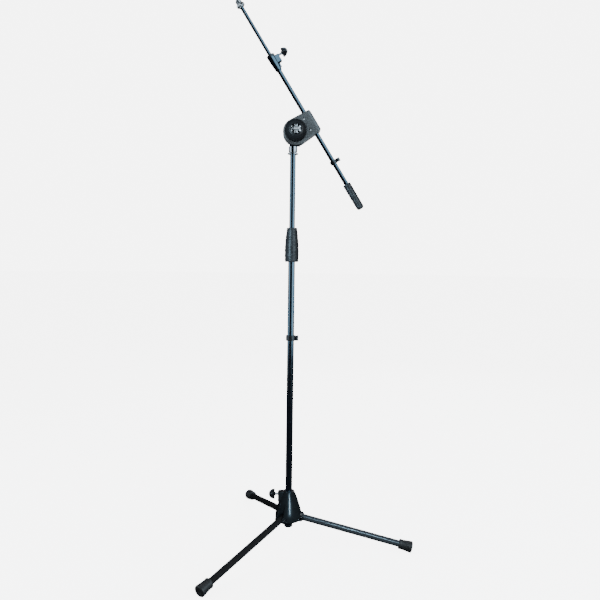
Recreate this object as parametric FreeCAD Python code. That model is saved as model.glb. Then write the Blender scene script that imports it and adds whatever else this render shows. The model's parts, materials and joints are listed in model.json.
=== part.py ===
import FreeCAD, Part
import os
import math

# Boom microphone stand: folding tripod, telescopic pole, swivel head, telescopic boom.
# Millimetres, +Z up, origin on the pole axis at floor level.
# The boom lies in the XZ plane, its tip towards -X and its counterweight towards +X.

V = FreeCAD.Vector
UP = V(0, 0, 1)
X_AXIS = V(1, 0, 0)
Y_AXIS = V(0, 1, 0)
ZERO = V(0, 0, 0)

# Running fit between parts that slide or turn on each other, per side.
RUN = 0.05

# Tripod
LEG_AZIMUTHS = {"right": -7.7, "rear": 112.3, "front": 232.3}
LEG_SLOPE = 12.3
LEG_LINE_HEIGHT = 86.5
PIVOT_RADIUS = 34.0
PIVOT_HEIGHT = LEG_LINE_HEIGHT - PIVOT_RADIUS * math.tan(math.radians(LEG_SLOPE))
LEG_R = 8.75
LEG_WALL = 1.1
LEG_START = -12.0
LEG_END = 305.0
BOOT_START = 277.0
BOOT_END = 313.4
BOOT_R = 15.4
PIN_R = 3.0
PIN_HEAD_R = 4.4
SLOT_WIDTH = 18.6
EAR_R = 9.5
EAR_SPAN = 27.0

# Base casting
BASE_BOTTOM = 70.0
BASE_TOP = 150.0
SLOT_INNER = 14.0
SLOT_CEILING = 92.5
GROOVE_INNER = 24.7
GROOVE_TOP = 121.0
CLAMP_HEIGHT = 141.0
CLAMP_REACH = 30.0
SCREW_R = 3.0

# Lower pole
LOWER_R = 9.3
LOWER_WALL = 1.2
LOWER_BOTTOM = 54.0
LOWER_TOP = 848.0
DISC_R = 11.7
POLE_CLIP_HEIGHT = 576.0

# Clutch
CLUTCH_BOTTOM = 782.0
CLUTCH_TOP = 873.5
BODY_R = 11.1
CORE_R = 13.4

# Upper pole and neck
UPPER_R = 7.8
UPPER_WALL = 1.0
UPPER_BOTTOM = 306.0
RING_BOTTOM = 1068.0
RING_TOP = 1074.5
NECK_R = 11.5
NECK_TOP = 1089.0
UPPER_TOP = 1086.0

# Head: local frame at the tilt pivot, local X along the boom, local Z from pivot to boom
PIVOT = V(7.0, 0, 1125.5)
BOOM_ANGLE = 58.0
BOOM_OFFSET = 45.5
HOUSING_R = 34.5
HOUSING_END = 61.0
HOUSING_END_HALF = 31.0
HOUSING_HALF_DEPTH = 18.0
HOUSING_BEVEL = 4.4
HOUSING_BEVEL_DEPTH = 3.2
TONGUE_HALF = 5.0
TONGUE_R = 22.0
POCKET_HALF = 5.6
POCKET_TOP = 23.8
BOLT_R = 4.0
KNOB_R = 29.3
LINER_R = 7.6
LINER_HALF = 29.5

# Boom, measured along the boom axis from the foot of the pivot's perpendicular
BOOM_R = 6.1
BOOM_WALL = 0.9
BOOM_TOP = -200.0
BOOM_BOTTOM = 250.0
CLAMP_TOP = -206.0
CLAMP_BOTTOM = -159.0
THUMB_AT = -194.8
BOOM_CLIP_AT = 119.0
GRIP_START = 186.0
GRIP_END = 263.0
ROD_R = 4.9
ROD_WALL = 1.0
ROD_TIP = -347.0
ROD_END = -17.0
THREAD_R = 7.94


# ---------------------------------------------------------------- helpers
def turned(runs):
    """Solid turned about Z from runs of (radius, height): two points a line, more a spline."""
    edges = []
    for run in runs:
        points = [V(r, 0, z) for r, z in run]
        if len(points) == 2:
            edges.append(Part.LineSegment(points[0], points[1]).toShape())
        else:
            curve = Part.BSplineCurve()
            curve.interpolate(points)
            edges.append(curve.toShape())
    return Part.Face(Part.Wire(edges)).revolve(ZERO, UP, 360)


def outline(points):
    """Runs of straight lines round a closed list of (radius, height) points."""
    return [[points[i], points[(i + 1) % len(points)]] for i in range(len(points))]


def rod(radius, start, end, bore=0.0):
    """Round bar or tube along Z from start to end."""
    bar = Part.makeCylinder(radius, end - start, V(0, 0, start))
    if bore > 0:
        bar = bar.cut(Part.makeCylinder(bore, end - start + 2, V(0, 0, start - 1)))
    return bar


def box(x0, x1, y0, y1, z0, z1):
    """Block between two corners."""
    return Part.makeBox(x1 - x0, y1 - y0, z1 - z0, V(x0, y0, z0))


def laid(shape, origin, direction):
    """Copy of a shape built along Z, laid along a direction from an origin."""
    return moved(shape, FreeCAD.Placement(origin, FreeCAD.Rotation(UP, direction)))


def moved(shape, placement):
    """Copy of a shape carried by a placement."""
    carried = shape.copy()
    carried.Placement = placement.multiply(carried.Placement)
    return carried


def filleted(shape, radius, keep):
    """Fillet the edges whose centre passes the keep test."""
    edges = [edge for edge in shape.Edges if keep(edge.CenterOfMass)]
    return shape.makeFillet(radius, edges)


def hexagon(across_flats, start, end):
    """Hexagonal bar along Z."""
    radius = across_flats / math.sqrt(3)
    corners = []
    for i in range(7):
        angle = math.radians(60 * i)
        corners.append(V(radius * math.cos(angle), radius * math.sin(angle), start))
    return Part.Face(Part.makePolygon(corners)).extrude(V(0, 0, end - start))


# ---------------------------------------------------------------- placements
def leg_frame(azimuth):
    """Frame at a leg's pivot: X out along the leg, Y along the pivot pin."""
    angle = math.radians(azimuth)
    origin = V(PIVOT_RADIUS * math.cos(angle), PIVOT_RADIUS * math.sin(angle), PIVOT_HEIGHT)
    turn = FreeCAD.Rotation(UP, azimuth).multiply(FreeCAD.Rotation(Y_AXIS, LEG_SLOPE))
    return FreeCAD.Placement(origin, turn)


def base_frame(azimuth):
    """Frame on the pole axis turned to face a leg."""
    return FreeCAD.Placement(ZERO, FreeCAD.Rotation(UP, azimuth))


def head_frame():
    """Frame at the tilt pivot: X down along the boom, Z from the pivot to the boom."""
    return FreeCAD.Placement(PIVOT, FreeCAD.Rotation(Y_AXIS, BOOM_ANGLE))


def in_head(shape):
    """Shape built in the pivot's frame, carried to its place."""
    return moved(shape, head_frame())


def on_boom(shape):
    """Shape built along Z as a boom position, laid on the boom axis."""
    return in_head(laid(shape, V(0, 0, BOOM_OFFSET), X_AXIS))


# ---------------------------------------------------------------- tripod
def base_casting():
    """Bell-shaped casting with three leg slots, pivot ears and a clamp boss."""
    bell = turned([
        [(0, BASE_BOTTOM), (32.5, BASE_BOTTOM)],
        [(32.5, BASE_BOTTOM), (35.6, 73), (36.6, 80), (35.6, 91), (32.4, 104),
         (28.4, 117), (24.0, 130), (20.0, 140), (17.0, 147)],
        [(17.0, 147), (15.6, BASE_TOP)],
        [(15.6, BASE_TOP), (0, BASE_TOP)],
        [(0, BASE_TOP), (0, BASE_BOTTOM)],
    ])
    boss = Part.makeCylinder(8.6, 30, V(8.6 - CLAMP_REACH, 0, BASE_TOP - 30))
    boss = boss.fuse(box(8.6 - CLAMP_REACH, -8, -8.6, 8.6, BASE_TOP - 30, BASE_TOP)).removeSplitter()
    boss = filleted(boss, 1.6, lambda p: p.z > BASE_TOP - 0.1 and p.x < -9)
    body = bell.fuse(boss)
    for azimuth in LEG_AZIMUTHS.values():
        ear = laid(rod(EAR_R, -EAR_SPAN / 2, EAR_SPAN / 2), V(PIVOT_RADIUS, 0, PIVOT_HEIGHT), Y_AXIS)
        ear = ear.makeFillet(0.8, [edge for edge in ear.Edges if edge.Length > 50])
        body = body.fuse(moved(ear, base_frame(azimuth)))
    half = SLOT_WIDTH / 2
    for azimuth in LEG_AZIMUTHS.values():
        slot = box(SLOT_INNER, 60, -half, half, BASE_BOTTOM - 5, SLOT_CEILING)
        groove = box(GROOVE_INNER, 60, -half, half, SLOT_CEILING - 1, GROOVE_TOP)
        pivot = V(PIVOT_RADIUS, 0, PIVOT_HEIGHT)
        pin_hole = laid(rod(PIN_R, -EAR_SPAN / 2 - 1, EAR_SPAN / 2 + 1), pivot, Y_AXIS)
        cutter = slot.fuse(groove).fuse(pin_hole)
        for side in (-1, 1):
            cutter = cutter.fuse(laid(rod(PIN_HEAD_R + 0.3, EAR_SPAN / 2, 20), pivot, V(0, side, 0)))
        body = body.cut(moved(cutter, base_frame(azimuth)))
    body = body.cut(rod(LOWER_R + RUN, BASE_BOTTOM - 5, BASE_TOP + 5))
    screw_hole = laid(rod(SCREW_R + RUN, 0, 60), V(0, 0, CLAMP_HEIGHT), V(-1, 0, 0))
    return body.cut(screw_hole)


def leg_pivot_pins():
    """Three riveted pins, one across each leg slot."""
    pins = []
    for azimuth in LEG_AZIMUTHS.values():
        end = EAR_SPAN / 2
        pin = rod(PIN_R, -end - 0.5, end + 0.5)
        pin = pin.fuse(rod(PIN_HEAD_R, -end - 1.2, -end)).fuse(rod(PIN_HEAD_R, end, end + 1.2))
        pin = laid(pin, V(PIVOT_RADIUS, 0, PIVOT_HEIGHT), Y_AXIS)
        pins.append(moved(pin.removeSplitter(), base_frame(azimuth)))
    return Part.makeCompound(pins)


def base_clamp_pad():
    """Brass pad that the base wing screw pushes against the pole."""
    return laid(rod(SCREW_R, LOWER_R + 0.35, LOWER_R + 2.9), V(0, 0, CLAMP_HEIGHT), V(-1, 0, 0))


def leg_tube():
    """Round steel leg with a cross hole for the pivot pin."""
    tube = laid(rod(LEG_R, LEG_START, LEG_END, LEG_R - LEG_WALL), ZERO, X_AXIS)
    return tube.cut(laid(rod(PIN_R + 0.4, -12, 12), ZERO, Y_AXIS))


def leg_hinge_plug():
    """Plug in the leg's inner end, bored for the pin, with a rounded heel."""
    plug = rod(LEG_R - LEG_WALL, LEG_START, 36)
    heel = turned([
        [(0, -15.2), (6.0, -15.2)],
        [(6.0, -15.2), (7.9, -14.4), (8.6, -12.6)],
        [(8.6, -12.6), (8.6, LEG_START)],
        [(8.6, LEG_START), (0, LEG_START)],
        [(0, LEG_START), (0, -15.2)],
    ])
    plug = laid(plug.fuse(heel), ZERO, X_AXIS)
    return plug.cut(laid(rod(PIN_R + RUN, -12, 12), ZERO, Y_AXIS))


def leg_boot(azimuth):
    """Flared rubber boot with a lip, cut flat where it stands on the floor."""
    end = BOOT_END
    start = BOOT_START
    boot = turned([
        [(LEG_R, start), (11.8, start)],
        [(11.8, start), (13.1, start + 0.8), (13.5, start + 2.4)],
        [(13.5, start + 2.4), (13.0, start + 5), (13.3, start + 12), (14.6, end - 12), (BOOT_R, end - 5)],
        [(BOOT_R, end - 5), (15.0, end - 2.2), (13.0, end - 0.5), (10.0, end)],
        [(10.0, end), (0, end)],
        [(0, end), (0, LEG_END)],
        [(0, LEG_END), (LEG_R, LEG_END)],
        [(LEG_R, LEG_END), (LEG_R, start)],
    ])
    boot = moved(laid(boot, ZERO, X_AXIS), leg_frame(azimuth))
    return boot.cut(box(-500, 500, -500, 500, -50, 0))


# ---------------------------------------------------------------- clamps
def wing_screw(start, end):
    """Threaded shank of a wing screw, from its tip to inside the knob."""
    shank = rod(SCREW_R, start, end)
    return shank.makeChamfer(0.5, [shank.Edges[0], shank.Edges[2]])


def wing_knob(start, reach, span, bore_end):
    """Half-round wing on a short hub, moulded over the screw's end."""
    half = span / 2
    centre = start + reach - half
    plate = laid(rod(half, -3.4, 3.4), V(0, 0, centre), Y_AXIS)
    plate = plate.cut(box(-30, 30, -10, 10, start - 40, start + 2.2))
    plate = plate.makeFillet(1.5, plate.Edges)
    hub = turned([
        [(0, start), (4.6, start)],
        [(4.6, start), (5.8, start + 2.0), (6.0, start + 5.0), (5.2, start + 9.0)],
        [(5.2, start + 9.0), (0, start + 9.0)],
        [(0, start + 9.0), (0, start)],
    ])
    return plate.fuse(hub).cut(rod(SCREW_R, start - 2, bore_end))


# ---------------------------------------------------------------- pole
def pole_end_disc():
    """Plastic disc that closes the lower tube and stops it pulling out of the base."""
    disc = turned([
        [(3.2, 48.6), (7.0, 48.6)],
        [(7.0, 48.6), (10.6, 49.4), (DISC_R, 51.2)],
        [(DISC_R, 51.2), (DISC_R, LOWER_BOTTOM)],
        [(DISC_R, LOWER_BOTTOM), (LOWER_R - LOWER_WALL, LOWER_BOTTOM)],
        [(LOWER_R - LOWER_WALL, LOWER_BOTTOM), (LOWER_R - LOWER_WALL, LOWER_BOTTOM + 12)],
        [(LOWER_R - LOWER_WALL, LOWER_BOTTOM + 12), (3.2, LOWER_BOTTOM + 12)],
        [(3.2, LOWER_BOTTOM + 12), (3.2, 48.6)],
    ])
    return disc


def end_disc_screw():
    """Pan-head screw through the end disc."""
    head = turned([
        [(0, 46.2), (2.5, 46.4)],
        [(2.5, 46.4), (4.6, 47.2), (5.4, 48.6)],
        [(5.4, 48.6), (0, 48.6)],
        [(0, 48.6), (0, 46.2)],
    ])
    return head.fuse(rod(3.2, 48.6, LOWER_BOTTOM + 14)).removeSplitter()


def clutch_body():
    """Sleeve fixed on top of the lower tube, which the grip turns on."""
    sleeve = rod(BODY_R, 788, LOWER_TOP, LOWER_R)
    cup = rod(BODY_R, LOWER_TOP, 862, 9.4)
    return sleeve.fuse(cup).removeSplitter()


def clutch_collet():
    """Split collet ring that grips the upper tube."""
    ring = turned(outline([
        (UPPER_R + RUN, LOWER_TOP), (9.4, LOWER_TOP), (9.4, 862), (10.6, 862),
        (8.6, 867.5), (UPPER_R + RUN, 867.5),
    ]))
    return ring.cut(box(0, 20, -0.8, 0.8, 851, 870))


def clutch_core():
    """Hard sleeve inside the grip, running on the clutch body."""
    return turned(outline([
        (BODY_R + RUN, 784), (CORE_R, 784), (CORE_R, 872), (8.3, 872), (8.3, 869.6),
        (9.4, 868.6), (11.5, 863.5), (11.5, 800), (BODY_R + RUN, 799),
    ]))


def clutch_cover():
    """Barrel-shaped rubber cover of the grip."""
    return turned([
        [(CORE_R, 784), (12.0, 784)],
        [(12.0, 784), (12.0, CLUTCH_BOTTOM)],
        [(12.0, CLUTCH_BOTTOM), (16.4, CLUTCH_BOTTOM)],
        [(16.4, CLUTCH_BOTTOM), (18.2, 784.5), (19.0, 795), (19.15, 808), (18.8, 823),
         (17.9, 839), (16.3, 855), (14.9, 866), (14.3, 871.5)],
        [(14.3, 871.5), (13.2, CLUTCH_TOP)],
        [(13.2, CLUTCH_TOP), (8.8, CLUTCH_TOP)],
        [(8.8, CLUTCH_TOP), (8.8, 872)],
        [(8.8, 872), (CORE_R, 872)],
        [(CORE_R, 872), (CORE_R, 784)],
    ])


def cable_clip(tube_r, band_r, loop_r, height, mouth_width, mouth_side):
    """Band round a tube with an open loop for a cable on its +X side."""
    wall = 1.9
    centre = V(band_r + loop_r - 0.6, 0, 0)
    band = rod(band_r, -height / 2, height / 2)
    loop = rod(loop_r + wall, -height / 2, height / 2)
    loop.translate(centre)
    clip = band.fuse(loop)
    clip = clip.cut(rod(tube_r + RUN, -height, height))
    hole = rod(loop_r, -height, height)
    hole.translate(centre)
    half = mouth_width / 2
    mouth = box(0, loop_r + 6, -half, half, -height, height)
    mouth.rotate(ZERO, UP, 90 * mouth_side)
    mouth.translate(centre)
    return clip.cut(hole).cut(mouth)


def upper_guide_bush():
    """Plastic bush on the upper tube's lower end, sliding in the lower tube."""
    outer = LOWER_R - LOWER_WALL - RUN
    return turned(outline([
        (UPPER_R - UPPER_WALL, UPPER_BOTTOM), (UPPER_R, UPPER_BOTTOM), (UPPER_R, UPPER_BOTTOM + 24),
        (outer, UPPER_BOTTOM + 24), (outer, UPPER_BOTTOM - 3), (3.5, UPPER_BOTTOM - 3),
        (3.5, UPPER_BOTTOM + 10), (UPPER_R - UPPER_WALL, UPPER_BOTTOM + 10),
    ]))


def neck_ring():
    """Flared ring on the upper tube, which the swivel neck sits on."""
    return turned(outline([
        (UPPER_R, RING_BOTTOM), (14.0, RING_BOTTOM), (14.4, RING_BOTTOM + 0.6),
        (14.4, RING_BOTTOM + 1.8), (10.2, RING_TOP - 1.2), (10.0, RING_TOP), (UPPER_R, RING_TOP),
    ]))


def neck():
    """Swivel sleeve with the tilt tongue on top."""
    sleeve = turned(outline([
        (0, RING_TOP + 0.1), (NECK_R - 0.8, RING_TOP + 0.1), (NECK_R, RING_TOP + 0.9),
        (NECK_R, NECK_TOP - 1.5), (NECK_R - 1.5, NECK_TOP), (0, NECK_TOP),
    ]))
    web = box(-9.5, PIVOT.x + 12, -TONGUE_HALF, TONGUE_HALF, NECK_TOP - 6, PIVOT.z)
    inside = Part.makeCylinder(NECK_R - 0.6, 40, V(0, 0, NECK_TOP - 8))
    web = web.common(inside.fuse(box(-9.5, 40, -20, 20, NECK_TOP + 0.1, PIVOT.z + 1)))
    disc = laid(rod(TONGUE_R, -TONGUE_HALF, TONGUE_HALF), V(PIVOT.x, 0, PIVOT.z), Y_AXIS)
    body = sleeve.fuse(web).fuse(disc)
    body = body.cut(laid(rod(BOLT_R + RUN, -20, 20), V(PIVOT.x, 0, PIVOT.z), Y_AXIS))
    return body.cut(rod(UPPER_R + RUN, RING_TOP - 5, UPPER_TOP + 0.3))


# ---------------------------------------------------------------- head
def housing_wire(inset, y):
    """Outline of the head housing at a depth y, drawn in by an inset."""
    corner = 7.0
    r = HOUSING_R - inset
    side = HOUSING_END_HALF - inset
    top = HOUSING_END - inset
    cx = HOUSING_END_HALF - corner
    cz = HOUSING_END - corner
    bend = (corner - inset) / math.sqrt(2)
    p = [V(-r, y, 0), V(0, y, -r), V(r, y, 0), V(side, y, cz), V(cx + bend, y, cz + bend),
         V(cx, y, top), V(-cx, y, top), V(-cx - bend, y, cz + bend), V(-side, y, cz)]
    edges = [
        Part.Arc(p[0], p[1], p[2]).toShape(),
        Part.LineSegment(p[2], p[3]).toShape(),
        Part.Arc(p[3], p[4], p[5]).toShape(),
        Part.LineSegment(p[5], p[6]).toShape(),
        Part.Arc(p[6], p[7], p[8]).toShape(),
        Part.LineSegment(p[8], p[0]).toShape(),
    ]
    return Part.Wire(edges)


def housing_half(side):
    """One half shell of the head, on the -Y (side -1) or +Y (side 1) side."""
    face_y = side * HOUSING_HALF_DEPTH
    edge_y = side * (HOUSING_HALF_DEPTH - HOUSING_BEVEL_DEPTH)
    slab = Part.Face(housing_wire(0, side * 0.15)).extrude(V(0, edge_y - side * 0.15, 0))
    bevel = Part.makeLoft([housing_wire(0, edge_y), housing_wire(HOUSING_BEVEL, face_y)], True, True)
    shell = slab.fuse(bevel)
    depth = HOUSING_HALF_DEPTH
    envelope = box(-60, 60, -depth, depth, -60, HOUSING_END)
    envelope = filleted(envelope, 11.0, lambda p: p.z > HOUSING_END - 0.1 and abs(p.x) < 1)
    shell = shell.common(envelope)
    shell = shell.cut(box(-60, 60, -POCKET_HALF, POCKET_HALF, -60, POCKET_TOP))
    groove = laid(rod(LINER_R, -60, 60), V(0, 0, BOOM_OFFSET), X_AXIS)
    bolt_hole = laid(rod(BOLT_R, -40, 40), ZERO, Y_AXIS)
    shell = shell.cut(groove).cut(bolt_hole)
    for x in (-17, 17):
        shank = laid(rod(2.0, -40, 40), V(x, 0, 33), Y_AXIS)
        shell = shell.cut(shank)
    if side < 0:
        for x in (-17, 17):
            shell = shell.cut(laid(rod(3.6, 15.6, 30), V(x, 0, 33), V(0, -1, 0)))
    else:
        shell = shell.cut(laid(hexagon(13.2, 12.6, 30), ZERO, Y_AXIS))
    return in_head(shell)


def housing_screws():
    """Two screws that hold the half shells round the boom."""
    screws = []
    for x in (-17, 17):
        head = turned([
            [(0, 15.6), (3.5, 15.6)],
            [(3.5, 15.6), (3.5, 16.6)],
            [(3.5, 16.6), (2.6, 17.7), (1.0, 18.1), (0, 18.15)],
            [(0, 18.15), (0, 15.6)],
        ])
        screw = head.fuse(rod(2.0, -13, 15.6)).removeSplitter()
        screw = screw.cut(box(-0.45, 0.45, -2.4, 2.4, 17.2, 19))
        screw = screw.cut(box(-2.4, 2.4, -0.45, 0.45, 17.2, 19))
        screws.append(in_head(laid(screw, V(x, 0, 33), V(0, -1, 0))))
    return Part.makeCompound(screws)


def friction_washers():
    """Two fibre washers, one on each side of the tongue."""
    front = laid(rod(20, TONGUE_HALF + 0.05, POCKET_HALF, BOLT_R), ZERO, V(0, -1, 0))
    rear = laid(rod(20, TONGUE_HALF + 0.05, POCKET_HALF, BOLT_R), ZERO, Y_AXIS)
    return in_head(Part.makeCompound([front, rear]))


def tilt_bolt():
    """Hexagon-head bolt through the head, on which the knob is screwed."""
    bolt = rod(BOLT_R, -38, 12.6).fuse(hexagon(13.0, 12.6, 18.0))
    return in_head(laid(bolt.removeSplitter(), ZERO, Y_AXIS))


def boom_liner():
    """Plastic sleeve between the half shells that holds the boom tube."""
    return on_boom(rod(LINER_R, -LINER_HALF, LINER_HALF, BOOM_R + RUN))


def on_knob(shape):
    """Shape built along Z from the housing's front face, laid out towards -Y."""
    return in_head(laid(shape, V(0, -HOUSING_HALF_DEPTH - 0.4, 0), V(0, -1, 0)))


def head_knob():
    """Domed clamping knob."""
    return on_knob(turned([
        [(7.5, 0), (26.5, 0)],
        [(26.5, 0), (28.6, 1.2), (KNOB_R, 4.0), (KNOB_R, 10.0), (28.6, 16.0), (26.4, 22.0),
         (22.8, 27.2), (18.4, 31.0), (14.0, 33.2)],
        [(14.0, 33.2), (14.0, 30.5)],
        [(14.0, 30.5), (0, 30.5)],
        [(0, 30.5), (0, 21.5)],
        [(0, 21.5), (7.5, 21.5)],
        [(7.5, 21.5), (7.5, 0)],
    ]))


def head_knob_insert():
    """Brass threaded insert in the knob."""
    return on_knob(rod(7.5, 0.4, 21.5, BOLT_R + RUN))


def head_knob_cap():
    """Metal cap let into the front of the knob."""
    return on_knob(turned([
        [(0, 30.5), (13.9, 30.5)],
        [(13.9, 30.5), (13.9, 33.6)],
        [(13.9, 33.6), (12.0, 35.0), (7.0, 36.0), (3.4, 36.2)],
        [(3.4, 36.2), (3.4, 33.6)],
        [(3.4, 33.6), (0, 33.6)],
        [(0, 33.6), (0, 30.5)],
    ]))


# ---------------------------------------------------------------- boom
def boom_tube():
    """Outer boom tube, with a hole for the telescope clamp's pad."""
    tube = rod(BOOM_R, BOOM_TOP, BOOM_BOTTOM, BOOM_R - BOOM_WALL)
    tube = laid(tube, V(0, 0, BOOM_OFFSET), X_AXIS)
    hole = laid(rod(2.8, 0, 12), V(THUMB_AT, 0, BOOM_OFFSET), UP)
    return in_head(tube.cut(hole))


def telescope_clamp():
    """Tapered clamp on the boom tube's upper end, with a screw boss and web."""
    body = turned([
        [(BOOM_R, -198.5), (10.6, -198.5)],
        [(10.6, -198.5), (10.4, -188), (9.4, -172), (8.4, -162)],
        [(8.4, -162), (7.7, CLAMP_BOTTOM)],
        [(7.7, CLAMP_BOTTOM), (BOOM_R, CLAMP_BOTTOM)],
        [(BOOM_R, CLAMP_BOTTOM), (BOOM_R, -198.5)],
    ])
    body = laid(body, V(0, 0, BOOM_OFFSET), X_AXIS)
    boss = box(-198.5, -176, -6.5, 6.5, BOOM_OFFSET, BOOM_OFFSET + 20)
    boss = filleted(boss, 2.6, lambda p: p.z > BOOM_OFFSET + 0.1)
    web = box(-178, -164, -1.6, 1.6, BOOM_OFFSET, BOOM_OFFSET + 12)
    web = filleted(web, 1.2, lambda p: p.x > -165 and p.z > BOOM_OFFSET + 1)
    body = body.fuse(boss).fuse(web)
    body = body.cut(laid(rod(BOOM_R, -300, -100), V(0, 0, BOOM_OFFSET), X_AXIS))
    hole = laid(rod(SCREW_R + RUN, 0, 40), V(THUMB_AT, 0, BOOM_OFFSET), UP)
    return in_head(body.cut(hole))


def telescope_collar():
    """Plastic end collar that guides the rod into the clamp."""
    collar = turned([
        [(ROD_R + RUN, CLAMP_TOP), (8.6, CLAMP_TOP)],
        [(8.6, CLAMP_TOP), (10.4, CLAMP_TOP + 0.8), (10.9, CLAMP_TOP + 2.4)],
        [(10.9, CLAMP_TOP + 2.4), (10.9, -198.5)],
        [(10.9, -198.5), (BOOM_R, -198.5)],
        [(BOOM_R, -198.5), (BOOM_R, BOOM_TOP)],
        [(BOOM_R, BOOM_TOP), (ROD_R + RUN, BOOM_TOP)],
        [(ROD_R + RUN, BOOM_TOP), (ROD_R + RUN, CLAMP_TOP)],
    ])
    return on_boom(collar)


def telescope_pad():
    """Pad between the thumb screw and the rod."""
    pad = laid(rod(2.5, ROD_R + 0.35, 7.6), V(THUMB_AT, 0, BOOM_OFFSET), UP)
    return in_head(pad)


def counterweight_core():
    """Steel sleeve on the boom's lower end."""
    return on_boom(rod(8.3, GRIP_START + 2, BOOM_BOTTOM, BOOM_R))


def counterweight_grip():
    """Rubber grip over the counterweight, with a rounded end."""
    return on_boom(turned([
        [(BOOM_R, GRIP_START), (9.6, GRIP_START)],
        [(9.6, GRIP_START), (10.6, GRIP_START + 0.8), (10.9, GRIP_START + 2.6)],
        [(10.9, GRIP_START + 2.6), (10.3, GRIP_END - 9)],
        [(10.3, GRIP_END - 9), (9.6, GRIP_END - 4.6), (7.4, GRIP_END - 1.4), (4.0, GRIP_END)],
        [(4.0, GRIP_END), (0, GRIP_END)],
        [(0, GRIP_END), (0, BOOM_BOTTOM)],
        [(0, BOOM_BOTTOM), (8.3, BOOM_BOTTOM)],
        [(8.3, BOOM_BOTTOM), (8.3, GRIP_START + 2)],
        [(8.3, GRIP_START + 2), (BOOM_R, GRIP_START + 2)],
        [(BOOM_R, GRIP_START + 2), (BOOM_R, GRIP_START)],
    ]))


def rod_guide_bush():
    """Plastic plug on the rod's inner end, sliding in the boom tube."""
    outer = BOOM_R - BOOM_WALL - RUN
    plug = rod(outer, ROD_END, ROD_END + 12).fuse(rod(ROD_R - ROD_WALL, ROD_END - 12, ROD_END))
    return on_boom(plug.removeSplitter())


def rod_stud():
    """Threaded stud with a shoulder, fixed in the rod's tip."""
    stud = rod(4.76, -372, ROD_TIP - 3).fuse(rod(6.4, ROD_TIP - 3, ROD_TIP))
    stud = stud.fuse(rod(ROD_R - ROD_WALL, ROD_TIP, ROD_TIP + 18)).removeSplitter()
    tip = [edge for edge in stud.Edges if edge.CenterOfMass.z < -371.9]
    return on_boom(stud.makeChamfer(0.9, tip[:1]))


def thread_adapter():
    """Adapter sleeve with the microphone clip's outside thread."""
    relief = THREAD_R - 0.4
    return on_boom(turned(outline([
        (4.76, -350), (relief, -350), (relief, -357), (THREAD_R, -357),
        (THREAD_R, -366.6), (THREAD_R - 0.7, -367.5), (4.76, -367.5),
    ])))


def lock_nut():
    """Knurled nut that locks a microphone clip on the thread."""
    return on_boom(turned(outline([
        (THREAD_R - 0.35, -350.3), (10.4, -350.3), (11.2, -351.1), (11.2, -355.9),
        (10.4, -356.7), (THREAD_R - 0.35, -356.7),
    ])))


# ---------------------------------------------------------------- all parts
def all_parts():
    """Every sub-part by node name."""
    parts = {
        "base_casting": base_casting(),
        "leg_pivot_pins": leg_pivot_pins(),
        "base_clamp_pad": base_clamp_pad(),
    }
    left = V(-1, 0, 0)
    clamp = V(0, 0, CLAMP_HEIGHT)
    parts["base_wing_screw"] = laid(wing_screw(LOWER_R + 3.1, CLAMP_REACH + 14), clamp, left)
    parts["base_wing_knob"] = laid(wing_knob(CLAMP_REACH + 6.5, 18.5, 29, CLAMP_REACH + 14), clamp, left)
    for name, azimuth in LEG_AZIMUTHS.items():
        parts[name + "_leg_tube"] = moved(leg_tube(), leg_frame(azimuth))
        parts[name + "_leg_plug"] = moved(leg_hinge_plug(), leg_frame(azimuth))
        parts[name + "_foot"] = leg_boot(azimuth)
    parts["lower_pole_tube"] = rod(LOWER_R, LOWER_BOTTOM, LOWER_TOP, LOWER_R - LOWER_WALL)
    parts["pole_end_disc"] = pole_end_disc()
    parts["end_disc_screw"] = end_disc_screw()
    parts["clutch_body"] = clutch_body()
    parts["clutch_collet"] = clutch_collet()
    parts["clutch_core"] = clutch_core()
    parts["clutch_cover"] = clutch_cover()
    clip = cable_clip(LOWER_R, 12.9, 3.4, 14, 5.0, 1)
    clip.translate(V(0, 0, POLE_CLIP_HEIGHT))
    parts["pole_cable_clip"] = clip
    parts["upper_pole_tube"] = rod(UPPER_R, UPPER_BOTTOM, UPPER_TOP, UPPER_R - UPPER_WALL)
    parts["upper_guide_bush"] = upper_guide_bush()
    parts["upper_end_plug"] = rod(UPPER_R - UPPER_WALL, UPPER_TOP - 26, UPPER_TOP - 0.2)
    parts["neck_ring"] = neck_ring()
    parts["swivel_neck"] = neck()
    parts["head_front_shell"] = housing_half(-1)
    parts["head_rear_shell"] = housing_half(1)
    parts["housing_screws"] = housing_screws()
    parts["friction_washers"] = friction_washers()
    parts["tilt_bolt"] = tilt_bolt()
    parts["boom_liner"] = boom_liner()
    parts["head_knob"] = head_knob()
    parts["head_knob_insert"] = head_knob_insert()
    parts["head_knob_cap"] = head_knob_cap()
    parts["boom_tube"] = boom_tube()
    parts["telescope_clamp"] = telescope_clamp()
    parts["telescope_collar"] = telescope_collar()
    parts["telescope_pad"] = telescope_pad()
    parts["counterweight_core"] = counterweight_core()
    parts["counterweight_grip"] = counterweight_grip()
    thumb = V(THUMB_AT, 0, BOOM_OFFSET)
    parts["clamp_wing_screw"] = in_head(laid(wing_screw(7.8, 36), thumb, UP))
    knob = wing_knob(28, 18.5, 29, 36)
    knob.rotate(ZERO, UP, 55)
    parts["clamp_wing_knob"] = in_head(laid(knob, thumb, UP))
    boom_clip = cable_clip(BOOM_R, 9.3, 4.3, 10, 6.2, -1)
    boom_clip.translate(V(0, 0, BOOM_CLIP_AT))
    boom_clip.rotate(ZERO, UP, 180)
    parts["boom_cable_clip"] = on_boom(boom_clip)
    parts["boom_rod"] = on_boom(rod(ROD_R, ROD_TIP, ROD_END, ROD_R - ROD_WALL))
    parts["rod_guide_bush"] = rod_guide_bush()
    parts["rod_stud"] = rod_stud()
    parts["thread_adapter"] = thread_adapter()
    parts["lock_nut"] = lock_nut()
    return parts


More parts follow.
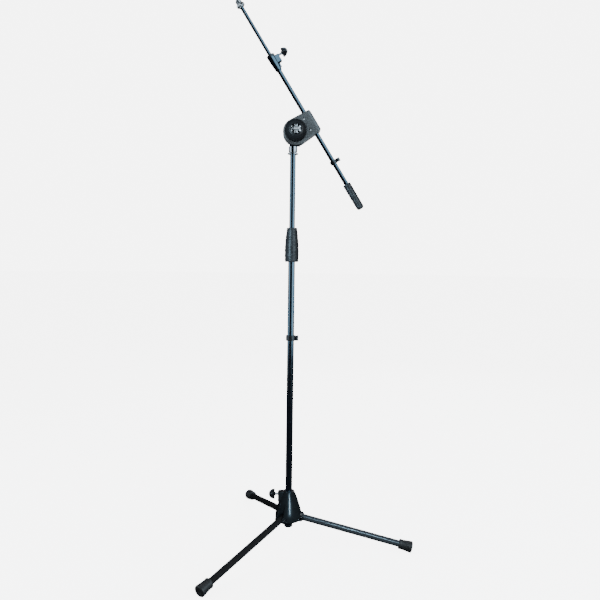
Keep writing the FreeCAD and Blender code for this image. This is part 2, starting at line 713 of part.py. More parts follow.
def main():
    os.makedirs("parts", exist_ok=True)
    for name, shape in all_parts().items():
        solids = len(shape.Solids)
        print(name, "solids", solids, "valid", shape.isValid(), "volume", round(shape.Volume, 1))
        shape.exportStep("parts/" + name + ".step")


main()
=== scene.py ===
import json
import math

import bmesh
import bpy
import numpy as np
from mathutils import Matrix, Vector


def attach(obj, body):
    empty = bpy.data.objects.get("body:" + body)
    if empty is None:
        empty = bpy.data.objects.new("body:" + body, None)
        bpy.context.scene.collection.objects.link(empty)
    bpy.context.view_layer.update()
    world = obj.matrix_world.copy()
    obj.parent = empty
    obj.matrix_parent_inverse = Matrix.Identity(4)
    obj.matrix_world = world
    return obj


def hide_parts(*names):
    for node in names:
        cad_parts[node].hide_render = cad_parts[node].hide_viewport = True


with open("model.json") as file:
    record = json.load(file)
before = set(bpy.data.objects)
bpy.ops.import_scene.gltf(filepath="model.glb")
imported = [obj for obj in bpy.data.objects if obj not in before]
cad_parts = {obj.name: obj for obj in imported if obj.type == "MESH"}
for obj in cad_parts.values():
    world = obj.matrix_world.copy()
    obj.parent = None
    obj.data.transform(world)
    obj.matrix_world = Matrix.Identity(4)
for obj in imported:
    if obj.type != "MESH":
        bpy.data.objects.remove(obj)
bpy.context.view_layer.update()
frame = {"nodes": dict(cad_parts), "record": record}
nodes = frame["nodes"]

MM = 0.001
FLOOR_GLOW = 5.7
BACKDROP_GLOW = 6.0
CAMERA_PLACE = (-0.0056, -1.6211, 0.7934)
CAMERA_PITCH = math.radians(4.015)
CAMERA_YAW = math.radians(1.048)
CAMERA_ROLL = math.radians(-0.786)
LENS = 36.0

# Frame of the head: pivot, boom direction (towards the counterweight) and boom normal
PIVOT = Vector((7.0, 0.0, 1125.5)) * MM
BOOM_ANGLE = math.radians(58.0)
BOOM_OFFSET = 45.5
ALONG = Vector((math.cos(BOOM_ANGLE), 0.0, -math.sin(BOOM_ANGLE)))
NORMAL = Vector((math.sin(BOOM_ANGLE), 0.0, math.cos(BOOM_ANGLE)))
FRONT = Vector((0.0, -1.0, 0.0))
UP = Vector((0.0, 0.0, 1.0))
LEFT = Vector((-1.0, 0.0, 0.0))

KNOB_FACE = -18.4
CLAMP_SCREW_AT = -194.8
CLAMP_SCREW_TURN = math.radians(55.0)

# Frame of a leg: pivot radius and height, slope below the horizon, direction seen from above
LEG_AZIMUTHS = {"right": -7.7, "rear": 112.3, "front": 232.3}
LEG_SLOPE = math.radians(12.3)
LEG_LINE_HEIGHT = 86.5
PIVOT_RADIUS = 34.0
PIVOT_HEIGHT = LEG_LINE_HEIGHT - PIVOT_RADIUS * math.tan(LEG_SLOPE)
LEG_R = 8.75
LEG_END = 305.0
BOOT_START = 277.0
BOOT_END = 313.4
BASE_SCREW_HEIGHT = 141.0

# Pieces of the boom that its own soft light shows
BOOM_PIECES = ("boom_tube", "boom_rod", "telescope_clamp", "telescope_collar", "boom_cable_clip")


# ---------------------------------------------------------------- places
def head_point(x, y, z):
    """Point in metres from millimetres in the head's frame."""
    return PIVOT + ALONG * (x * MM) + Vector((0, y * MM, 0)) + NORMAL * (z * MM)


def placement(origin, direction, side):
    """Matrix that puts local Z along direction and local X near side, from an origin in metres."""
    z = direction.normalized()
    x = (side - z * side.dot(z)).normalized()
    y = z.cross(x)
    turn = Matrix((x, y, z)).transposed().to_4x4()
    return Matrix.Translation(origin) @ turn


def boom_place():
    """Places a shape built along Z as boom positions."""
    return placement(head_point(0, 0, BOOM_OFFSET), ALONG, NORMAL)


def leg_place(azimuth):
    """Places a shape built along Z outward from a leg's pivot."""
    angle = math.radians(azimuth)
    out = Vector((math.cos(angle), math.sin(angle), 0.0))
    origin = (out * PIVOT_RADIUS + UP * PIVOT_HEIGHT) * MM
    direction = out * math.cos(LEG_SLOPE) - UP * math.sin(LEG_SLOPE)
    return placement(origin, direction, UP)


# ---------------------------------------------------------------- meshes
def mesh_object(name, vertices, faces, place, smooth_angle=35.0):
    """Object from vertices in millimetres, put in place and shaded smooth between sharp edges."""
    mesh = bpy.data.meshes.new(name)
    mesh.from_pydata([tuple(v) for v in vertices], [], [tuple(f) for f in faces])
    mesh.transform(place @ Matrix.Scale(MM, 4))
    mesh.validate()
    mesh.update()
    obj = bpy.data.objects.new(name, mesh)
    bpy.context.scene.collection.objects.link(obj)
    mesh.shade_smooth()
    mesh.set_sharp_from_angle(angle=math.radians(smooth_angle))
    return obj


def resample(points, step):
    """Profile points spaced at most one step apart, with the corners kept."""
    out = []
    for (r0, z0), (r1, z1) in zip(points[:-1], points[1:]):
        count = max(1, int(math.ceil(math.hypot(r1 - r0, z1 - z0) / step)))
        for i in range(count):
            t = i / count
            out.append((r0 + (r1 - r0) * t, z0 + (z1 - z0) * t))
    out.append(points[-1])
    return out


def smooth_profile(points, step):
    """Profile through the points as one smooth curve, evenly resampled."""
    pts = [Vector((r, z, 0)) for r, z in points]
    out = []
    for i in range(len(pts) - 1):
        before = pts[max(i - 1, 0)]
        after = pts[min(i + 2, len(pts) - 1)]
        a, b = pts[i], pts[i + 1]
        count = max(1, int(math.ceil((b - a).length / step)))
        for k in range(count):
            t = k / count
            m0 = (b - before) * 0.5
            m1 = (after - a) * 0.5
            p = (a * (2 * t ** 3 - 3 * t ** 2 + 1) + m0 * (t ** 3 - 2 * t ** 2 + t)
                 + b * (-2 * t ** 3 + 3 * t ** 2) + m1 * (t ** 3 - t ** 2))
            out.append((p.x, p.y))
    out.append((points[-1][0], points[-1][1]))
    return out


def lathe(name, profile, segments, place, relief=None, smooth_angle=35.0):
    """Closed turned solid. relief(angle, radius, height) gives how far a point moves inward."""
    rows = []
    vertices = []
    for r, z in profile:
        if r < 1e-6:
            rows.append([len(vertices)])
            vertices.append((0.0, 0.0, z))
            continue
        row = []
        for k in range(segments):
            angle = 2 * math.pi * k / segments
            sink = relief(angle, r, z) if relief else 0.0
            row.append(len(vertices))
            vertices.append(((r - sink) * math.cos(angle), (r - sink) * math.sin(angle), z))
        rows.append(row)
    faces = []
    closed = len(rows[0]) > 1 and len(rows[-1]) > 1
    pairs = list(zip(rows[:-1], rows[1:]))
    if closed:
        pairs.append((rows[-1], rows[0]))
    for low, high in pairs:
        for k in range(segments):
            n = (k + 1) % segments
            if len(low) == 1 and len(high) > 1:
                faces.append((low[0], high[n], high[k]))
            elif len(high) == 1 and len(low) > 1:
                faces.append((low[k], low[n], high[0]))
            elif len(low) > 1:
                faces.append((low[k], low[n], high[n], high[k]))
    obj = mesh_object(name, vertices, faces, place, smooth_angle)
    face_outward(obj)
    return obj


def face_outward(obj):
    """Makes the faces of a closed mesh look outward."""
    bm = bmesh.new()
    bm.from_mesh(obj.data)
    bmesh.ops.recalc_face_normals(bm, faces=bm.faces)
    bm.to_mesh(obj.data)
    bm.free()


# ---------------------------------------------------------------- materials
def noise(tree, place, scale, detail):
    """Noise texture in object space."""
    node = tree.nodes.new("ShaderNodeTexNoise")
    node.inputs["Scale"].default_value = scale
    node.inputs["Detail"].default_value = detail
    tree.links.new(place.outputs["Object"], node.inputs["Vector"])
    return node


def blend_colours(tree, factor, first, second):
    """Mix of two colours or colour outputs by a factor output."""
    mixed = tree.nodes.new("ShaderNodeMix")
    mixed.data_type = "RGBA"
    for name, colour in (("A", first), ("B", second)):
        if isinstance(colour, tuple):
            mixed.inputs[name].default_value = (*colour, 1.0)
        else:
            tree.links.new(colour, mixed.inputs[name])
    tree.links.new(factor, mixed.inputs["Factor"])
    return mixed.outputs["Result"]


def remapped(tree, value, from_min, from_max, to_min, to_max):
    """Clamped linear change of range."""
    node = tree.nodes.new("ShaderNodeMapRange")
    node.inputs["From Min"].default_value = from_min
    node.inputs["From Max"].default_value = from_max
    node.inputs["To Min"].default_value = to_min
    node.inputs["To Max"].default_value = to_max
    tree.links.new(value, node.inputs["Value"])
    return node.outputs["Result"]


def edge_sheen_and_wear(tree, rounded, fine, amount):
    """Mask that is high along sharp edges, broken up by the grain; it lightens edges as wear and as a
    painted highlight.
    """
    shape = tree.nodes.new("ShaderNodeNewGeometry")
    match = tree.nodes.new("ShaderNodeVectorMath")
    match.operation = "DOT_PRODUCT"
    tree.links.new(rounded.outputs["Normal"], match.inputs[0])
    tree.links.new(shape.outputs["Normal"], match.inputs[1])
    edge = remapped(tree, match.outputs["Value"], 0.995, 0.93, 0.0, amount)
    broken = tree.nodes.new("ShaderNodeMath")
    broken.operation = "MULTIPLY"
    tree.links.new(edge, broken.inputs[0])
    tree.links.new(remapped(tree, fine.outputs["Fac"], 0.35, 0.6, 0.3, 1.0), broken.inputs[1])
    return broken.outputs["Value"]


def finish(name, colour, rough, metallic=0.0, coat=0.0, ior=1.5, tint=(1.0, 1.0, 1.0), grain=900.0,
           bump=0.1, variation=0.15, rough_variation=0.08, rounding=0.4, sheen_and_wear=0.0,
           sheen_and_wear_colour=(0.3, 0.33, 0.36)):
    """Node material: mottled colour, smudged roughness, fine grain, rounded edges, and edges lightened to a
    paler colour as wear and painted highlight.
    """
    material = bpy.data.materials.new(name)
    material.use_nodes = True
    tree = material.node_tree
    shader = tree.nodes["Principled BSDF"]
    place = tree.nodes.new("ShaderNodeTexCoord")
    cloud = noise(tree, place, 45.0, 5.0)
    fine = noise(tree, place, grain, 3.0)
    dark = tuple(c * (1 - variation) for c in colour)
    light = tuple(min(1.0, c * (1 + variation)) for c in colour)
    rounded = tree.nodes.new("ShaderNodeBevel")
    rounded.samples = 4
    rounded.inputs["Radius"].default_value = rounding * MM
    result = blend_colours(tree, cloud.outputs["Fac"], dark, light)
    # Sharp edges blend towards a lighter blue-grey colour: wear together with a painted edge highlight.
    if sheen_and_wear > 0:
        result = blend_colours(tree, edge_sheen_and_wear(tree, rounded, fine, sheen_and_wear), result, sheen_and_wear_colour)
    tree.links.new(result, shader.inputs["Base Color"])
    smudge = remapped(tree, cloud.outputs["Fac"], 0.3, 0.7, max(0.03, rough - rough_variation),
                      min(1.0, rough + rough_variation))
    tree.links.new(smudge, shader.inputs["Roughness"])
    relief = tree.nodes.new("ShaderNodeBump")
    relief.inputs["Strength"].default_value = bump
    relief.inputs["Distance"].default_value = 0.0001
    tree.links.new(fine.outputs["Fac"], relief.inputs["Height"])
    tree.links.new(rounded.outputs["Normal"], relief.inputs["Normal"])
    tree.links.new(relief.outputs["Normal"], shader.inputs["Normal"])
    shader.inputs["Metallic"].default_value = metallic
    shader.inputs["Coat Weight"].default_value = coat
    shader.inputs["Coat Roughness"].default_value = 0.06
    shader.inputs["IOR"].default_value = ior
    shader.inputs["Specular Tint"].default_value = (*tint, 1.0)
    material.diffuse_color = (*colour, 1.0)
    return material


def pole_paint():
    """Smooth black lacquer with a blue cast in its shine, on the tubes and the telescope clamp."""
    return finish("pole_paint", (0.005, 0.006, 0.009), 0.16, ior=1.95, tint=(0.5, 0.78, 1.0), grain=520.0,
                  bump=0.02, rough_variation=0.04, sheen_and_wear=0.15)


def casting_paint():
    """Glossy black enamel over a slightly rough casting."""
    return finish("casting_paint", (0.016, 0.018, 0.020), 0.28, coat=0.3, ior=1.4, tint=(0.78, 0.9, 1.0),
                  grain=300.0, bump=0.25, rough_variation=0.06, rounding=0.9, sheen_and_wear=0.1)


def leg_paint():
    """Satin black powder coat."""
    return finish("leg_paint", (0.026, 0.028, 0.031), 0.22, ior=1.24, tint=(0.8, 0.92, 1.0), grain=1500.0,
                  bump=0.2, rough_variation=0.06, sheen_and_wear=0.1)


def grip_rubber():
    """Dark grey moulded rubber whose tread edges are lightened to blue-grey: rubbed marks and painted
    glints.
    """
    return finish("grip_rubber", (0.032, 0.035, 0.039), 0.3, ior=1.42, tint=(0.8, 0.92, 1.0), grain=1800.0,
                  bump=0.3, variation=0.25, sheen_and_wear=0.5, sheen_and_wear_colour=(0.09, 0.12, 0.15))


def foot_rubber():
    """Matt black rubber with floor dust in its grain."""
    return finish("foot_rubber", (0.013, 0.014, 0.016), 0.5, ior=1.45, grain=1200.0, bump=0.5,
                  variation=0.3, sheen_and_wear=0.15, sheen_and_wear_colour=(0.07, 0.07, 0.07))


def shell_plastic():
    """Grey-black nylon with a fine spark-eroded texture; its edges are lightened to blue-grey as a painted
    highlight.
    """
    return finish("shell_plastic", (0.085, 0.092, 0.097), 0.4, ior=1.5, tint=(0.8, 0.92, 1.0), grain=2200.0,
                  bump=0.5, variation=0.12, rounding=0.5, sheen_and_wear=0.85, sheen_and_wear_colour=(0.3, 0.35, 0.38))


def knob_plastic():
    """Matt black moulded knob; the edges of its marks are lightened a little to blue-grey as painted
    glints.
    """
    return finish("knob_plastic", (0.018, 0.020, 0.023), 0.34, ior=1.38, grain=1900.0, bump=0.3,
                  variation=0.2, sheen_and_wear=0.3, sheen_and_wear_colour=(0.05, 0.06, 0.07))


def black_plastic():
    """Plain black moulded plastic."""
    return finish("black_plastic", (0.010, 0.011, 0.013), 0.3, ior=1.5, tint=(0.8, 0.92, 1.0), grain=1400.0,
                  bump=0.2, variation=0.2, sheen_and_wear=0.2)


def zinc_bright():
    """Bright zinc plate with a fine brushed grain."""
    return finish("zinc_bright", (0.42, 0.45, 0.48), 0.24, metallic=1.0, grain=1300.0, bump=0.15,
                  variation=0.06, rough_variation=0.05, rounding=0.25)


def dark_chrome():
    """Black nickel plate."""
    return finish("dark_chrome", (0.2, 0.23, 0.26), 0.09, metallic=1.0, grain=700.0, bump=0.05,
                  variation=0.06, rough_variation=0.03)


def steel_plain():
    """Plain turned steel."""
    return finish("steel_plain", (0.5, 0.51, 0.53), 0.3, metallic=1.0, grain=1100.0, bump=0.2,
                  variation=0.1)


def brass_plain():
    """Dull machined brass."""
    return finish("brass_plain", (0.6, 0.45, 0.2), 0.35, metallic=1.0, grain=1000.0, bump=0.2)


def fibre():
    """Brown pressed fibre."""
    return finish("fibre", (0.2, 0.12, 0.06), 0.8, grain=600.0, bump=0.5, variation=0.3)


MATERIALS = {
    "black_gloss_paint": casting_paint(),
    "black_satin_paint": leg_paint(),
    "pole_paint": pole_paint(),
    "zinc_bright": zinc_bright(),
    "dark_chrome": dark_chrome(),
    "brass_plain": brass_plain(),
    "grip_rubber": grip_rubber(),
    "foot_rubber": foot_rubber(),
    "shell_plastic": shell_plastic(),
    "knob_plastic": knob_plastic(),
    "black_plastic": black_plastic(),
    "steel_plain": steel_plain(),
    "fibre_washer": fibre(),
}


def paint(obj, slot):
    """Gives a piece the material of one of the record's slots."""
    obj.data.materials.clear()
    obj.data.materials.append(MATERIALS[slot])


def paint_cad_nodes():
    """Gives every CAD node its material."""
    slots = {entry["node"]: entry["material_slot"] for entry in frame["record"]["subparts"]}
    for name, obj in nodes.items():
        for i in range(len(obj.material_slots)):
            obj.material_slots[i].material = MATERIALS[slots[name]]


def stands_for(obj, slot, body, *cad):
    """Finishes a detailed piece that replaces CAD nodes."""
    paint(obj, slot)
    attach(obj, body)
    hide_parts(*cad)
    return obj


# ---------------------------------------------------------------- relief patterns
def tread(cells, pitch, radius, depth):
    """Raised lozenges in alternating directions, as on tread plate; returns the inward relief."""
    def relief(angle, r, z):
        u = angle / (2 * math.pi) * cells
        v = z / pitch
        best = 0.0
        column = math.floor(u)
        row = math.floor(v)
        for i in (column - 1, column, column + 1):
            for j in (row - 1, row, row + 1):
                lean = 1 if (i + j) % 2 == 0 else -1
                du = (u - i - 0.5) * 2 * math.pi * radius / cells
                dv = (v - j - 0.5) * pitch
                a = (du + lean * dv) / math.sqrt(2)
                b = (dv - lean * du) / math.sqrt(2)
                shape = 1 - (a / (pitch * 0.52)) ** 2 - (b / (pitch * 0.2)) ** 2
                best = max(best, min(1.0, shape * 2.2))
        return depth * (1 - best)
    return relief


# ---------------------------------------------------------------- detailed pieces
def clutch_cover():
    """Barrel grip of the height clutch with tread relief."""
    outer = [(16.4, 782), (18.2, 784.5), (19.0, 795), (19.15, 808), (18.8, 823), (17.9, 839),
             (16.3, 855), (14.9, 866), (14.3, 871.5)]
    profile = smooth_profile(outer, 0.5)
    profile += resample([(14.3, 871.5), (13.2, 873.5), (8.8, 873.5), (8.8, 872), (13.4, 872),
                         (13.4, 784), (12.0, 784), (12.0, 782)], 3.0)[1:]
    marks = tread(10, 13.0, 17.8, 0.55)

    def relief(angle, r, z):
        if r < 13.9 or z < 786.5 or z > 869.5:
            return 0.0
        return marks(angle, r, z)

    obj = lathe("clutch_grip_cover", profile, 288, Matrix.Identity(4), relief, 60)
    return stands_for(obj, "grip_rubber", "clutch_grip", "clutch_cover")


def counterweight_grip():
    """Counterweight grip with the same tread relief."""
    profile = resample([(6.1, 188), (6.1, 186), (9.6, 186)], 2.0)
    profile += resample([(9.6, 186), (10.6, 186.8), (10.9, 188.6), (10.3, 254)], 0.5)[1:]
    profile += smooth_profile([(10.3, 254), (9.6, 258.4), (7.4, 261.6), (4.0, 263), (0, 263)], 0.6)[1:]
    profile = [(0, 250), (8.3, 250), (8.3, 188)] + profile
    marks = tread(7, 8.6, 10.4, 0.4)

    def relief(angle, r, z):
        if r < 9.9 or z < 189.5 or z > 256:
            return 0.0
        return marks(angle, r, z)

    obj = lathe("counterweight_handle", profile, 168, boom_place(), relief, 60)
    return stands_for(obj, "grip_rubber", "boom", "counterweight_grip")


def knob_place():
    """Places a shape built along Z out of the head's front face."""
    return placement(head_point(0, KNOB_FACE, 0), FRONT, UP)


def head_knob():
    """Domed clamping knob with tread marks and shallow finger scallops."""
    dome = [(26.5, 0), (28.6, 1.2), (29.3, 4.0), (29.3, 10.0), (28.6, 16.0), (26.4, 22.0),
            (22.8, 27.2), (18.4, 31.0), (14.0, 33.2)]
    profile = smooth_profile(dome, 0.55)
    profile += [(14.0, 30.5), (0, 30.5)]
    profile = [(0, 21.5), (7.5, 21.5), (7.5, 0)] + profile
    marks_round = 18
    row_height = 6.4

    def relief(angle, r, z):
        if z < 0.6 or r < 14.3:
            return 0.0
        wave = 0.5 * (1 + math.cos(9 * angle))
        scallop = wave * 0.45 * min(1.0, z / 6.0) * min(1.0, (30 - z) / 12.0)
        reach = z * 0.55 + (29.3 - r) * 0.75
        v = (reach - 2.0) / row_height
        row = math.floor(v)
        u = angle / (2 * math.pi) * marks_round - 0.5 * (row % 2)
        du = (u - math.floor(u) - 0.5) * 2 * math.pi * r / marks_round
        dv = (v - row - 0.5) * row_height
        mark = min(1.0, max(0.0, (1 - (du / 3.1) ** 2 - (dv / 1.15) ** 2) * 2.2))
        return scallop + 0.5 * (1 - mark)

    obj = lathe("clamping_knob", profile, 300, knob_place(), relief, 60)
    return stands_for(obj, "knob_plastic", "knob", "head_knob")


def head_knob_cap():
    """Six-lobed metal cap with notches between the lobes and a recessed centre."""
    profile = [(0, 30.5), (13.9, 30.5), (13.9, 33.2)]
    profile += smooth_profile([(13.9, 33.2), (12.0, 34.9), (7.0, 36.0), (4.4, 36.2)], 0.3)[1:]
    profile += [(3.8, 35.6), (2.6, 33.6), (0, 33.6)]

    def relief(angle, r, z):
        if z < 33.0 or r < 4.5:
            return 0.0
        notch = (0.5 * (1 - math.cos(6 * angle))) ** 2
        return notch * 5.2 * min(1.0, (r - 4.5) / 7.0)

    obj = lathe("knob_cap", profile, 240, knob_place(), relief, 50)
    return stands_for(obj, "zinc_bright", "knob", "head_knob_cap")


def foot(name, azimuth):
    """Flared rubber foot with a lip and moulded rings, flat where it stands."""
    end = BOOT_END
    start = BOOT_START
    profile = [(LEG_R, start), (11.8, start)]
    profile += smooth_profile([(11.8, start), (13.1, start + 0.8), (13.5, start + 2.4), (13.0, start + 5),
                               (13.3, start + 12), (14.6, end - 12), (15.3, end - 5)], 0.5)[1:]
    profile += smooth_profile([(15.3, end - 5), (14.9, end - 2.2), (12.9, end - 0.5), (9.9, end)], 0.5)[1:]
    profile += [(6.0, end - 0.1), (5.4, end - 0.8), (0, end - 0.8)]
    profile = [(0, LEG_END), (LEG_R, LEG_END)] + profile

    def relief(angle, r, z):
        if z < start + 6 or z > end - 6 or r < 10:
            return 0.0
        ring = 0.5 * (1 + math.cos((z - start) / 3.6 * 2 * math.pi))
        return 0.4 * ring ** 3

    obj = lathe(name + "_rubber_foot", profile, 96, leg_place(azimuth), relief, 50)
    for vertex in obj.data.vertices:
        vertex.co.z = max(vertex.co.z, 0.0)
    return stands_for(obj, "foot_rubber", name + "_leg", name + "_foot")


def helix(depth, pitch, start, end):
    """Inward relief of a screw thread along part of a shaft."""
    def relief(angle, r, z):
        if z < start or z > end:
            return 0.0
        turn = (z / pitch - angle / (2 * math.pi)) % 1.0
        return depth * (1 - abs(2 * turn - 1))
    return relief


def thread_adapter():
    """Adapter sleeve with a raised thread."""
    bore_r = 4.76
    thread_r = 7.94
    neck_r = 7.54
    profile = [(bore_r, -350), (neck_r, -350), (neck_r, -357), (thread_r, -357)]
    profile += resample([(thread_r, -357), (thread_r, -366.6)], 0.12)[1:]
    profile += [(7.2, -367.5), (bore_r, -367.5)]
    obj = lathe("microphone_thread", profile, 96, boom_place(), helix(0.55, 0.94, -366.9, -357.1), 60)
    return stands_for(obj, "zinc_bright", "inner_boom", "thread_adapter")


def lock_nut():
    """Knurled lock nut."""
    profile = resample([(7.59, -350.3), (10.4, -350.3), (11.2, -351.1), (11.2, -355.9),
                        (10.4, -356.7), (7.59, -356.7)], 0.4)

    def relief(angle, r, z):
        if r < 10.0:
            return 0.0
        return 0.3 * (1 + math.cos(30 * angle)) * (1.0 if r > 10.8 else 0.5)

    obj = lathe("thread_lock_nut", profile, 240, boom_place(), relief, 40)
    return stands_for(obj, "zinc_bright", "tip_nut", "lock_nut")


WING_HALF = 14.5
WING_DROP = 4.0
WING_FLAT = 2.2
HUB_HALF = 5.2
HUB_R = 5.6


def wing_exit(dx, dz):
    """Distance from the wing's centre to its outline: a disc cut flat, with the hub below it."""
    disc = WING_HALF
    hub = WING_HALF
    if dz < 0:
        disc = min(WING_HALF, (WING_DROP - WING_FLAT) / -dz)
        hub = WING_DROP / -dz
    if abs(dx) > 1e-6:
        hub = min(hub, HUB_HALF / abs(dx))
    return max(disc, hub)


def wing_half_thickness(x, z, share):
    """Half the wing's thickness: lobes thicker outward with grip ribs, and a round hub in the middle."""
    rim = math.sqrt(max(0.0, 1 - share ** 8))
    lobe = 2.4 + 0.9 * abs(x / WING_HALF) ** 2
    rib = 0.18 * math.cos(x * 2.6) if abs(x) > 5.5 else 0.0
    hub = 0.0
    if abs(x) < HUB_R:
        fade = min(1.0, max(0.0, (z + 13.0) / 6.0))
        hub = math.sqrt(max(0.0, HUB_R ** 2 - x ** 2)) * (1 - fade) + 3.2 * fade
    return rim * max(lobe + rib, hub)


def wing(name, place, start, body, cad):
    """Moulded wing of a wing screw, half round, with a hub towards the clamp."""
    rings = 14
    steps = 144
    vertices = []
    rim_row = []
    rows = {1: [], -1: []}
    for side in (1, -1):
        for i in range(rings):
            share = i / rings
            row = []
            for k in range(steps if i else 1):
                angle = 2 * math.pi * k / steps
                dx, dz = math.sin(angle), math.cos(angle)
                reach = wing_exit(dx, dz) * share
                x, z = dx * reach, dz * reach
                thick = wing_half_thickness(x, -WING_DROP - z, share)
                row.append(len(vertices))
                vertices.append((x, side * thick, start + WING_DROP + z))
            rows[side].append(row)
    for k in range(steps):
        angle = 2 * math.pi * k / steps
        dx, dz = math.sin(angle), math.cos(angle)
        reach = wing_exit(dx, dz)
        rim_row.append(len(vertices))
        vertices.append((dx * reach, 0.0, start + WING_DROP + dz * reach))
    faces = []
    for side in (1, -1):
        band = rows[side] + [rim_row]
        for inner, outer in zip(band[:-1], band[1:]):
            for k in range(steps):
                n = (k + 1) % steps
                if len(inner) == 1:
                    faces.append((inner[0], outer[k], outer[n]))
                else:
                    faces.append((inner[k], outer[k], outer[n], inner[n]))
    obj = mesh_object(name, vertices, faces, place, 50)
    face_outward(obj)
    return stands_for(obj, "black_plastic", body, cad)


def threaded_shank(name, place, start, end, body, cad):
    """Screw shank with a raised thread and a turned-down tip."""
    profile = [(0, start), (2.3, start), (2.6, start + 0.5), (2.6, start + 1.2), (3.0, start + 1.4)]
    profile += resample([(3.0, start + 1.4), (3.0, end)], 0.16)[1:] + [(0, end)]
    obj = lathe(name, profile, 48, place, helix(0.4, 1.0, start + 1.5, end - 0.2), 60)
    return stands_for(obj, "zinc_bright", body, cad)


def base_wing_place():
    """Places a shape built along Z outward from the pole at the base's clamp."""
    return placement(UP * (BASE_SCREW_HEIGHT * MM), LEFT, UP)


def clamp_wing_place():
    """Places a shape built along Z outward from the boom at the telescope clamp."""
    side = ALONG * math.cos(CLAMP_SCREW_TURN) + Vector((0, math.sin(CLAMP_SCREW_TURN), 0))
    return placement(head_point(CLAMP_SCREW_AT, 0, BOOM_OFFSET), NORMAL, side)


def wing_screw(body, place, tip, wing_start, end):
    """Wing screw from its tip to inside the moulded wing."""
    wing(body, place, wing_start, body, body + "_knob")
    threaded_shank(body + "_thread", place, tip, end, body, body + "_screw")


def wing_screws():
    """Both wing screws: in the base's clamp and in the telescope clamp."""
    wing_screw("base_wing", base_wing_place(), tip=12.4, wing_start=36.5, end=44.0)
    wing_screw("clamp_wing", clamp_wing_place(), tip=7.8, wing_start=28.0, end=36.0)


# ---------------------------------------------------------------- studio
def light_group(light, pieces, state):
    """Limits a light to some pieces (INCLUDE), or keeps it off them (EXCLUDE)."""
    group = bpy.data.collections.new(light.name + "_pieces")
    for piece in pieces:
        group.objects.link(piece)
    for member in group.collection_objects:
        member.light_linking.link_state = state
    light.light_linking.receiver_collection = group


def area_light(name, place, aim, size, radiance, colour=(1, 1, 1)):
    """Rectangular soft light aimed at a point, with the brightness its surface shows."""
    data = bpy.data.lights.new(name, "AREA")
    data.shape = "RECTANGLE"
    data.size = size[0]
    data.size_y = size[1]
    data.energy = radiance * math.pi * size[0] * size[1]
    data.color = colour
    obj = bpy.data.objects.new(name, data)
    obj.location = place
    obj.rotation_euler = (Vector(aim) - Vector(place)).to_track_quat("-Z", "Y").to_euler()
    obj.visible_camera = False
    bpy.context.scene.collection.objects.link(obj)
    return obj


def pale_material(glow):
    """Pale matt stage finish that glows a little, so that it looks white."""
    material = bpy.data.materials.new("studio_white")
    material.use_nodes = True
    shader = material.node_tree.nodes["Principled BSDF"]
    shader.inputs["Base Color"].default_value = (0.8, 0.8, 0.8, 1.0)
    shader.inputs["Roughness"].default_value = 0.95
    shader.inputs["Specular IOR Level"].default_value = 0.0
    shader.inputs["Emission Color"].default_value = (1.0, 1.0, 1.0, 1.0)
    shader.inputs["Emission Strength"].default_value = glow
    return material


def stage_piece(name, mesh, glow):
    """Floor or backdrop that the camera sees, but that adds no glare to the object."""
    obj = bpy.data.objects.new(name, mesh)
    bpy.context.scene.collection.objects.link(obj)
    mesh.materials.append(pale_material(glow))
    obj.visible_diffuse = False
    obj.visible_glossy = False
    obj.visible_shadow = False


def surroundings():
    """Pale floor with a far round backdrop."""
    radius = 30.0
    segments = 96
    ring = [(radius * math.cos(2 * math.pi * k / segments), radius * math.sin(2 * math.pi * k / segments))
            for k in range(segments)]
    ground = bpy.data.meshes.new("studio_floor")
    ground.from_pydata([(x, y, -0.0005) for x, y in ring], [], [tuple(range(segments))])
    stage_piece("studio_floor", ground, FLOOR_GLOW)
    levels = [(math.cos(math.radians(a)), math.sin(math.radians(a))) for a in range(-5, 90, 5)]
    points = [(x * c, y * c, radius * s) for c, s in levels for x, y in ring]
    faces = []
    for row in range(len(levels) - 1):
        for k in range(segments):
            n = (k + 1) % segments
            base = row * segments
            faces.append((base + k, base + n, base + segments + n, base + segments + k))
    dome = bpy.data.meshes.new("studio_backdrop")
    dome.from_pydata(points, [], faces)
    stage_piece("studio_backdrop", dome, BACKDROP_GLOW)


def around(azimuth, distance, height):
    """Place round the pole; azimuth 0 is in front (-Y), positive to the right."""
    angle = math.radians(azimuth)
    return (distance * math.sin(angle), -distance * math.cos(angle), height)


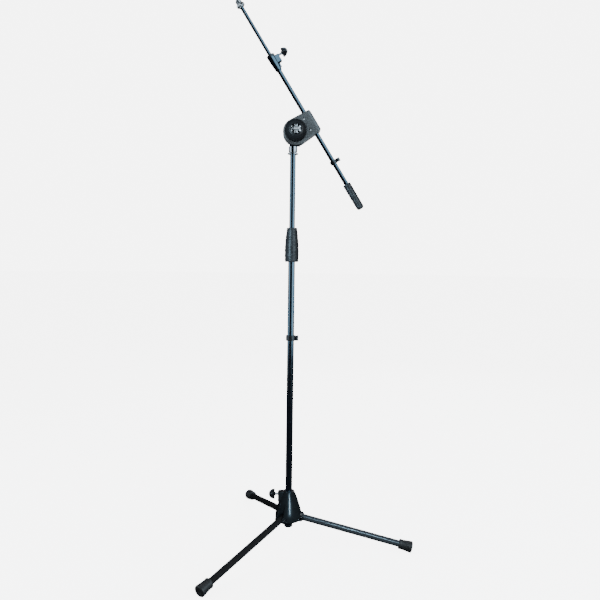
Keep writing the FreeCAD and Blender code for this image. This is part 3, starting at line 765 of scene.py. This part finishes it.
def studio(grips, badge):
    """Dim white surroundings with tall soft lights at both sides and small ones for the highlights."""
    world = bpy.data.worlds.new("studio")
    world.use_nodes = True
    background = world.node_tree.nodes["Background"]
    background.inputs["Color"].default_value = (1.0, 1.0, 1.0, 1.0)
    background.inputs["Strength"].default_value = 0.35
    world.cycles_visibility.glossy = False
    bpy.context.scene.world = world
    base = [nodes["base_casting"]]
    boom = [nodes[name] for name in BOOM_PIECES]
    legs = [nodes[name + "_leg_tube"] for name in LEG_AZIMUTHS]
    right = area_light("right_soft", around(57, 2.0, 1.3), (0, 0, 1.15), (2.6, 2.1), 5.0, (0.76, 0.91, 1.0))
    left = area_light("left_soft", around(-74, 2.0, 1.3), (0, 0, 1.15), (1.9, 2.1), 3.6, (0.82, 0.93, 1.0))
    over = area_light("boom_soft", (0.95, -1.7, 2.4), (-0.1, 0, 1.25), (3.2, 1.9), 4.4, (0.7, 0.89, 1.0))
    strip = area_light("strip", around(12, 1.5, 0.5), (0, 0, 0.2), (0.13, 0.6), 75.0, (0.62, 0.86, 1.0))
    key = area_light("key", (0.48, -1.45, 1.42), (0.2, 0, 0.05), (0.25, 0.45), 170.0, (0.6, 0.84, 1.0))
    glint = area_light("glint", around(-36, 1.6, 1.1), (0, 0, 0.9), (0.6, 1.4), 11.0, (0.66, 0.88, 1.0))
    fill = area_light("grip_fill", around(42, 1.8, 1.2), (0, 0, 1.0), (1.2, 1.6), 3.2, (0.85, 0.95, 1.0))
    front = area_light("badge_soft", (0.1, -2.0, 1.6), (0, 0, 1.13), (0.7, 0.5), 2.2, (0.8, 0.93, 1.0))
    light_group(right, base + boom + legs + grips, "EXCLUDE")
    light_group(left, base + boom + legs + grips, "EXCLUDE")
    light_group(over, boom, "INCLUDE")
    light_group(strip, base, "INCLUDE")
    light_group(key, [nodes["right_leg_tube"]], "INCLUDE")
    light_group(glint, grips, "INCLUDE")
    light_group(fill, legs + grips, "INCLUDE")
    light_group(front, [badge], "INCLUDE")
    area_light("behind", around(160, 2.4, 1.8), (0, 0, 0.7), (1.6, 1.6), 2.5)


def camera():
    """Camera a little above the middle of the pole, looking slightly down."""
    data = bpy.data.cameras.new("camera")
    data.lens = LENS
    data.sensor_width = 36.0
    obj = bpy.data.objects.new("camera", data)
    level = Vector((math.sin(CAMERA_YAW), math.cos(CAMERA_YAW), 0.0))
    ahead = level * math.cos(CAMERA_PITCH) - UP * math.sin(CAMERA_PITCH)
    right = Vector((math.cos(CAMERA_YAW), -math.sin(CAMERA_YAW), 0.0))
    above = right.cross(ahead)
    tilted_right = right * math.cos(CAMERA_ROLL) - above * math.sin(CAMERA_ROLL)
    tilted_above = right * math.sin(CAMERA_ROLL) + above * math.cos(CAMERA_ROLL)
    turn = Matrix((tilted_right, tilted_above, -ahead)).transposed().to_4x4()
    obj.matrix_world = Matrix.Translation(CAMERA_PLACE) @ turn
    bpy.context.scene.collection.objects.link(obj)
    bpy.context.scene.camera = obj


# ---------------------------------------------------------------- build
paint_cad_nodes()
grips = [clutch_cover(), counterweight_grip(), head_knob()]
badge = head_knob_cap()
thread_adapter()
lock_nut()
for leg_name, leg_azimuth in LEG_AZIMUTHS.items():
    foot(leg_name, leg_azimuth)
wing_screws()
surroundings()
studio(grips, badge)
camera()
